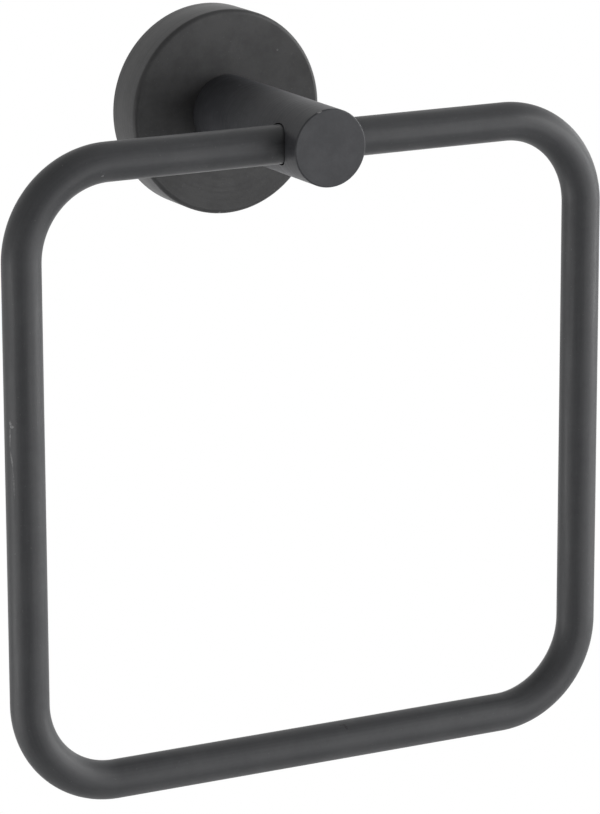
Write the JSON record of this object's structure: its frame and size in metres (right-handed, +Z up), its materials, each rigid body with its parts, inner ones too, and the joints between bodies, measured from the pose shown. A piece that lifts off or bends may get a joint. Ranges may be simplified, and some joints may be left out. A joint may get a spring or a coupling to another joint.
{
  "type": "towel ring",
  "caption": "Square towel ring: closed loop of round tube through the nose of a straight post on a round wall rosette, satin black.",
  "frame": {"origin": "centre of the rosette on the wall plane, midway between the two wall screw holes", "axes": "+Z up, +X to the right from the front, +Y into the wall; the post stands out along -Y and the loop hangs down along -Z"},
  "size_m": [0.17, 0.07, 0.192],
  "materials": {
    "satin_black": "fine-grained satin to matte black coat on metal",
    "zinc_plated_steel": "bright zinc plating with faint turning marks",
    "turned_brass": "plain turned brass",
    "blackened_steel": "black oxide on steel, slightly oily"
  },
  "bodies": {
    "root": {"rosette_cover": "satin_black", "post": "satin_black", "ring": "satin_black", "wall_bracket": "zinc_plated_steel", "ring_joint_pin": "turned_brass", "post_screw": "zinc_plated_steel", "post_washer": "zinc_plated_steel", "cover_grub_screw": "blackened_steel", "ring_grub_screw": "blackened_steel"}
  },
  "joints": []
}
